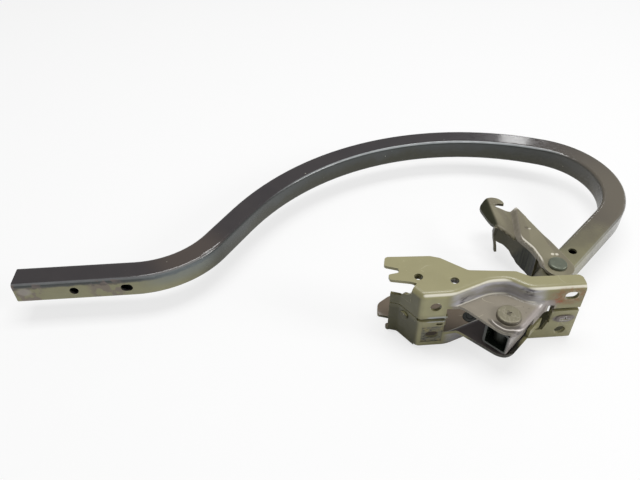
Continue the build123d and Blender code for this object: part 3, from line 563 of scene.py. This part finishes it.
# Counterbalance link. A stamped channel astride the arm, one step lower at its hook end, that
# takes the lid spring rod in the hook's throat. It turns on a sleeve clamped by a blued rivet,
# with a steel washer at each side of the tube.
def link_coat():
    f = Finish("link_coat")
    nx, _, nz = f.facing
    colour = f.mottled((137, 132, 111), (121, 116, 97), 18.0, 3.0)
    # painted shade: soft dark lengthwise lines over the plate
    hollow_shade = f.scratches(16.0, (1.0, 0.18, 1.0), 6.0, 0.09)
    colour = f.mix(hollow_shade * 0.4, colour, shade(108, 101, 88))

    # painted shade: the wall is coloured dark, ribbed and darkest up to the hook, and the hook's
    # turned-down flank nearly black
    upright = f.band(nz, 0.0, 0.75, 0.4) * f.step(f.z, 9.5, 7.5)
    ribs = f.noise(2.4, 2.0, (1.0, 1.0, 0.06), 3.0)
    ribbed_shade = f.mix(f.step(ribs, 0.4, 0.62), shade(46, 48, 34), shade(20, 22, 13))
    smooth_wall_shade = f.mottled((84, 80, 60), (58, 56, 40), 9.0, 3.0, (1.0, 1.0, 0.5), 8.0)
    ribbed = f.step(f.y + f.z * 0.5, 72.0, 66.0)
    colour = f.mix(upright * f.step(nx, 0.2, -0.2), colour, f.mix(ribbed, smooth_wall_shade, ribbed_shade))
    flank_shade = f.step(f.x - f.y * 0.02, 24.2, 21.4) * f.step(f.y, 92.0, 97.0) * f.step(f.z, -6.0, -3.0)
    flank_shade_tone = f.mottled((48, 50, 32), (26, 28, 16), 3.0, 3.0, (1.0, 0.15, 1.0))
    colour = f.mix(flank_shade * 0.92, colour, flank_shade_tone)

    # painted highlights on the slope of the joggle and along the bend by the wall
    slope_highlight = f.step(nz, 0.97, 0.88) * f.step(nx, -0.1, -0.25) * f.step(f.z, 8.0, 8.6)
    colour = f.mix(slope_highlight * 0.55, colour, f.mottled((176, 168, 156), (112, 105, 94), 4.0, 3.0))
    crescent_highlight = f.step(nx, -0.2, -0.35) * f.step(nz, 0.6, 0.72) * f.step(nz, 0.95, 0.86)
    crescent_highlight = crescent_highlight * f.step(f.z, 9.6, 10.6) * f.step(f.y, 76.0, 70.0) * f.step(f.y, 40.0, 46.0)
    colour = f.mix(crescent_highlight, colour, shade(226, 221, 206))
    seam = f.near((31.0, 86.0, 6.0), 13.0, 17.0) * f.step(f.y + f.x * 1.6, 146.0, 140.0)
    edge = f.worn_edge(0.6, 0.02, 0.12) * (1.0 - seam)
    colour = f.mix(edge * (0.2 + f.noise(6.0, 3.0) * 0.5), colour, shade(196, 190, 172))

    # marks: a painted highlight on the hook's corner, two pips by the rivet with painted glints, a dent
    # with painted shade and a painted glint
    cap_highlight = f.near((43.4, 108.6, 12.6), 1.0, 3.2) * f.step(nz, 0.2, 0.6)
    colour = f.mix(cap_highlight * 0.8, colour, shade(216, 211, 200))
    pips_and_glints = f.near((53.9, 49.0, 14.0), 0.9, 1.7, (1.0, 1.0, 0.3))
    pips_and_glints = pips_and_glints + f.near((57.2, 48.4, 14.0), 0.9, 1.7, (1.0, 1.0, 0.3))
    colour = f.mix(pips_and_glints * 0.7, colour, shade(226, 220, 204))
    dent_and_shade = f.near((43.6, 82.2, 14.0), 0.8, 2.2, (1.0, 0.8, 0.3))
    colour = f.mix(dent_and_shade * 0.5, colour, shade(92, 86, 72))
    glint = f.near((45.9, 80.6, 14.0), 0.5, 1.3, (0.8, 1.0, 0.3))
    colour = f.mix(glint * 0.7, colour, shade(214, 208, 192))
    chips = f.specks(5.0, 0.4, 0.12)
    colour = f.mix(chips * 0.6, colour, shade(190, 184, 166))
    grain = f.noise(1.2, 2.0) * 0.3 + f.noise(6.0, 2.0) * 0.7 - pips_and_glints * 1.2 - dent_and_shade * 2.0
    grain = grain - ribs * upright * ribbed * 1.2
    roughness = f.noise(6.0, 3.0) * 0.12 + 0.27
    return f.dress(colour, roughness, grain, 0.00022, coat=0.12, metallic=0.05, specular=0.18)


def blued_steel():
    f = Finish("blued_steel")
    colour = f.mottled((118, 123, 108), (96, 101, 90), 5.0, 3.0)
    pits = f.specks(1.8, 0.4, 0.5)
    colour = f.mix(pits * 0.3, colour, shade(148, 153, 140))
    edge = f.worn_edge(0.4)
    colour = f.mix(edge * 0.5, colour, shade(172, 175, 160))
    roughness = f.noise(3.0, 2.0) * 0.12 + 0.30
    return f.dress(colour, roughness, f.noise(1.0, 2.0) - pits * 0.4, 0.0001, metallic=0.4)


link_finish = link_coat()
link_pivot = (53.169, 36.55)
link_top = 14.0
link_sheet = 2.5
plate_side = [(7.1, 19.2), (-8.3, 69.6), (-9.0, 72.4), (-11.6, 73.4), (-13.7, 74.2), (-16.2, 75.2),
              (-21.2, 80.2), (-23.9, 82.4), (-23.9, 85.6), (-20.9, 86.6), (-17.2, 85.5), (-15.0, 85.2),
              (-15.6, 89.6), (-18.5, 93.6), (-23.4, 95.6), (-28.4, 94.8), (-34.4, 91.4), (-35.0, 86.6),
              (-34.0, 78.0), (-33.0, 69.0), (-31.8, 61.0), (-30.6, 57.6)]
wall_side = [(-30.6, 57.6), (-25.4, 50.4), (-21.4, 43.0), (-16.9, 31.6),
             (-12.2, 21.0), (-10.4, 9.8), (-10.6, 2.0)]
end_radius = 11.6
end_turns = [math.radians(a) for a in range(180, 375, 15)]
rivet_end = [(1.0 + end_radius * math.cos(a), -0.9 + end_radius * math.sin(a)) for a in end_turns]


def rounded(points, times):
    """Closed outline with its corners cut back again and again."""
    for _ in range(times):
        cut = []
        for (ax, ay), (bx, by) in zip(points, points[1:] + points[:1]):
            cut += [(ax * 0.8 + bx * 0.2, ay * 0.8 + by * 0.2), (ax * 0.2 + bx * 0.8, ay * 0.2 + by * 0.8)]
        points = cut
    return points


def line_distance(x, y, line):
    """Distance of a place from a chain of straight pieces."""
    best = 99.0
    for (ax, ay), (bx, by) in zip(line, line[1:]):
        dx, dy = bx - ax, by - ay
        t = max(0.0, min(1.0, ((x - ax) * dx + (y - ay) * dy) / (dx * dx + dy * dy)))
        best = min(best, math.hypot(x - ax - t * dx, y - ay - t * dy))
    return best


def ease(value):
    """Smooth climb from 0 to 1 as the value goes from 0 to 1."""
    value = max(0.0, min(1.0, value))
    return value * value * (3.0 - 2.0 * value)


def plate_height(x, y):
    """Top of the link's plate: the leaning joggle, the bend along the wall and the hook's flank."""
    joggle_drop, joggle_width = 6.0, 4.6
    bend_radius, bend_end = 3.0, 60.0
    flank_drop, flank_start, flank_width = 6.5, -27.6, 8.4
    past = (x + 9.6) * -0.983 + (y - 70.8) * 0.183
    height = link_top - joggle_drop * ease(past / joggle_width)
    from_wall = line_distance(x, y, wall_side)
    if from_wall < bend_radius and y < bend_end:
        fall = bend_radius - math.sqrt(bend_radius ** 2 - (bend_radius - from_wall) ** 2)
        height -= fall * ease((bend_end - y) / 5.0)
    from_groove = line_distance(x, y, [(-3.5, 58.0), (1.2, 40.0), (2.2, 24.0)])
    height -= 0.7 * ease((2.6 - from_groove) / 2.6)
    height -= flank_drop * ease((flank_start - x) / flank_width) ** 1.2 * ease((y - 52.0) / 12.0)
    return height


def wall_foot(y):
    """Lower edge of the wall, waisted between the rivet end and the prong."""
    stations = [(-20.0, -14.0), (25.0, -14.0), (31.0, -13.2), (37.0, -10.6),
                (43.0, -7.4), (48.0, -6.6), (54.0, -7.6), (64.0, -9.0)]
    for (ya, za), (yb, zb) in zip(stations, stations[1:]):
        if ya <= y <= yb:
            return za + (zb - za) * ease((y - ya) / (yb - ya))
    return -14.0


def shell(wide, tall):
    """Faces of a grid of points and of its copy one sheet away, with the rim between them."""
    faces = []
    copy = wide * tall
    for j in range(tall - 1):
        for i in range(wide - 1):
            a = j * wide + i
            b = a + copy
            faces.append((a, a + 1, a + wide + 1, a + wide))
            faces.append((b + wide, b + wide + 1, b + 1, b))
    rim = [j * wide for j in range(tall)]
    rim += [(tall - 1) * wide + i for i in range(1, wide)]
    rim += [j * wide + wide - 1 for j in range(tall - 2, -1, -1)]
    rim += [i for i in range(wide - 2, 0, -1)]
    faces += [(a, b, b + copy, a + copy) for a, b in zip(rim, rim[1:] + rim[:1])]
    return faces


def link_wall(outline):
    """Points and faces of the wall, which starts clear of the tube and ends at the prong."""
    rows = 9
    start_y, end_y = 13.2, 57.8
    beside = [(x, y) for x, y in outline if line_distance(x, y, wall_side) < 0.9]
    edge = [(x, y) for x, y in beside if x < 0.0 and start_y < y < end_y]
    line = []
    for (ax, ay), (bx, by) in zip(edge, edge[1:]):
        line += [(ax + (bx - ax) * k / 4.0, ay + (by - ay) * k / 4.0) for k in range(4)]
    line.append(edge[-1])
    outer = []
    inner = []
    for k, (x, y) in enumerate(line):
        ax, ay = line[max(0, k - 1)]
        bx, by = line[min(len(line) - 1, k + 1)]
        size = math.hypot(bx - ax, by - ay)
        nx, ny = -(by - ay) / size, (bx - ax) / size
        high = plate_height(x + nx * 0.4, y + ny * 0.4) - 0.7
        low = wall_foot(y)
        for r in range(rows):
            t = r / (rows - 1)
            z = low + (high - low) * t
            belly = 0.3 * ease((32.0 - y) / 14.0) * math.sin(math.pi * t)
            outer.append((x + nx * (belly - 0.12), y + ny * (belly - 0.12), z))
            inner.append((x + nx * (link_sheet + belly), y + ny * (link_sheet + belly), z))
    return outer + inner, shell(rows, len(line))


def link_floor():
    """Points and faces of the lower plate, which is short and lies under the tube."""
    side = [(7.1, 19.2), (2.6, 33.6), (-8.0, 38.0), (-15.6, 34.2), (-12.0, 21.0), (-10.2, 9.8)]
    outline = rounded(rivet_end + side, 2)
    points = [(x, y, z) for z in (-link_top, -link_top + link_sheet) for x, y in outline]
    return points, prism_faces(len(outline))


def link_prong():
    """Points and faces of the thin prong that hangs from the corner of the hook."""
    line = [(-30.4, 57.6, 6.4), (-30.6, 58.2, 0.0), (-29.0, 58.6, -8.0),
            (-26.9, 58.9, -16.0), (-25.6, 59.0, -23.0)]
    points = []
    for x, y, z in line:
        half = 1.9 if z > -10.0 else 1.5
        ring = [(x - 1.1, y - half), (x + 0.9, y - half), (x + 1.1, y - half + 0.3),
                (x + 1.1, y + half), (x - 0.9, y + half), (x - 1.1, y + half - 0.3)]
        points += [(rx, ry, z) for rx, ry in ring]
    faces = []
    for k in range(len(line) - 1):
        for i in range(6):
            a = k * 6 + i
            b = k * 6 + (i + 1) % 6
            faces.append((a, a + 6, b + 6, b))
    last = (len(line) - 1) * 6
    faces += [tuple(range(6)), tuple(range(last + 5, last - 1, -1))]
    return points, faces


def hook_link():
    px, py = link_pivot
    # plate: a formed slab cut to its outline
    xs = [-38.0 + i * 0.5 for i in range(106)]
    ys = [-15.0 + j * 0.8 for j in range(142)]
    slab = [(px + x, py + y, plate_height(x, y)) for y in ys for x in xs]
    slab += [(x, y, z - link_sheet) for x, y, z in slab]
    link = new_piece("hook_link", slab, shell(len(xs), len(ys)), link_finish, "link")
    outline = rounded(rivet_end + plate_side + wall_side[1:-1], 2)
    low_ring = [(px + x, py + y, -2.0) for x, y in outline]
    high_ring = [(x, y, 20.0) for x, y, z in low_ring]
    plate = trimmed(link, low_ring, high_ring, "INTERSECT")

    # wall, lower plate and prong join the same piece
    points = [tuple(v.co) for v in plate.vertices]
    faces = [tuple(p.vertices) for p in plate.polygons]
    for part_points, part_faces in (link_wall(outline), link_floor(), link_prong()):
        first = len(points)
        points += metres([(px + x, py + y, z) for x, y, z in part_points])
        faces += [tuple(first + i for i in face) for face in part_faces]
    whole = bpy.data.meshes.new("hook_link_sheet")
    whole.from_pydata(points, [], faces)
    whole.validate()
    whole.materials.append(link_finish)
    whole.shade_smooth()
    whole.set_sharp_from_angle(angle=math.radians(38.0))
    link.data = whole
    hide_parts("counterbalance_link")


hook_link()
paint("counterbalance_link", link_finish)
paint("link_rivet", blued_steel())
paint("link_sleeve", steel_shade)
paint("link_washer_upper", steel_shade)
paint("link_washer_lower", steel_shade)


# Photo table. A plain white sheet, large enough that its edge stays out of the picture; it
# shows nearly white to the camera and still takes the hinge's soft shadow.
def table_white():
    f = Finish("table_white")
    f.feed(f.shader.inputs["Base Color"], shade(236, 236, 236))
    f.feed(f.shader.inputs["Roughness"], 0.9)
    glow = f.node("ShaderNodeEmission", {}, {"Color": (1.0, 1.0, 1.0), "Strength": 1.0})
    seen = f.node("ShaderNodeLightPath", {}, {}, "Is Camera Ray")
    blend = f.node("ShaderNodeMixShader", {}, {0: seen * 0.72, 1: Level(f, f.shader.outputs[0]), 2: glow})
    out = f.tree.nodes["Material Output"]
    f.tree.links.new(blend.socket, out.inputs["Surface"])
    return f.material


table_mesh = bpy.data.meshes.new("photo_table")
table_half = 6.0
table_level = -0.0305
signs = [(-1, -1), (1, -1), (1, 1), (-1, 1)]
corners = [(x * table_half, y * table_half, table_level) for x, y in signs]
table_mesh.from_pydata(corners, [], [(0, 1, 2, 3)])
photo_table = bpy.data.objects.new("photo_table", table_mesh)
bpy.context.scene.collection.objects.link(photo_table)
table_mesh.materials.append(table_white())


# Room and lamps. A broad soft lamp hangs over the far side and draws the bright lines on the
# bends, a small bright window far behind shines on the arm's bow, a weaker lamp stands at the
# right, and the room itself is a dim pale grey that the camera sees as white.
def soft_lamp(name, place, aim, size, watts):
    light = bpy.data.lights.new(name, "AREA")
    light.shape = "RECTANGLE"
    light.size, light.size_y = size
    light.energy = watts
    lamp = bpy.data.objects.new(name, light)
    lamp.location = place
    dx, dy, dz = (a - p for a, p in zip(aim, place))
    flat = math.hypot(dx, dy)
    lamp.rotation_euler = (math.atan2(flat, -dz), 0.0, math.atan2(-dx, dy))
    bpy.context.scene.collection.objects.link(lamp)


soft_lamp("ceiling_lamp", (-0.05, 0.25, 1.5), (-0.05, 0.08, 0.0), (1.1, 0.5), 17.0)
soft_lamp("window_lamp", (0.60, 1.40, 0.79), (0.07, 0.22, 0.0), (0.085, 0.1), 0.36)
soft_lamp("right_lamp", (1.3, -0.45, 0.75), (0.05, 0.05, 0.0), (0.5, 0.5), 11.0)

room = bpy.data.worlds.new("room")
room.use_nodes = True
tree = room.node_tree
room_light = tree.nodes["Background"]
room_light.inputs["Color"].default_value = (1.0, 1.0, 1.0, 1.0)
room_light.inputs["Strength"].default_value = 0.28
white = tree.nodes.new("ShaderNodeBackground")
white.inputs["Strength"].default_value = 1.0
rays = tree.nodes.new("ShaderNodeLightPath")
choice = tree.nodes.new("ShaderNodeMixShader")
tree.links.new(rays.outputs["Is Camera Ray"], choice.inputs[0])
tree.links.new(room_light.outputs[0], choice.inputs[1])
tree.links.new(white.outputs[0], choice.inputs[2])
tree.links.new(choice.outputs[0], tree.nodes["World Output"].inputs["Surface"])
scene = bpy.context.scene
scene.world = room
scene.view_settings.view_transform = "Standard"


# Camera. It stands at the photographer's place, looking down on the hinge from its front left.
view = bpy.data.cameras.new("photographer")
view.sensor_width = 36.0
view.lens = 33.99
view.clip_start = 0.01
photographer = bpy.data.objects.new("photographer", view)
photographer.location = (-0.1470, -0.2861, 0.3428)
photographer.rotation_euler = (math.radians(48.227), math.radians(0.991), math.radians(-3.885))
scene.collection.objects.link(photographer)
scene.camera = photographer
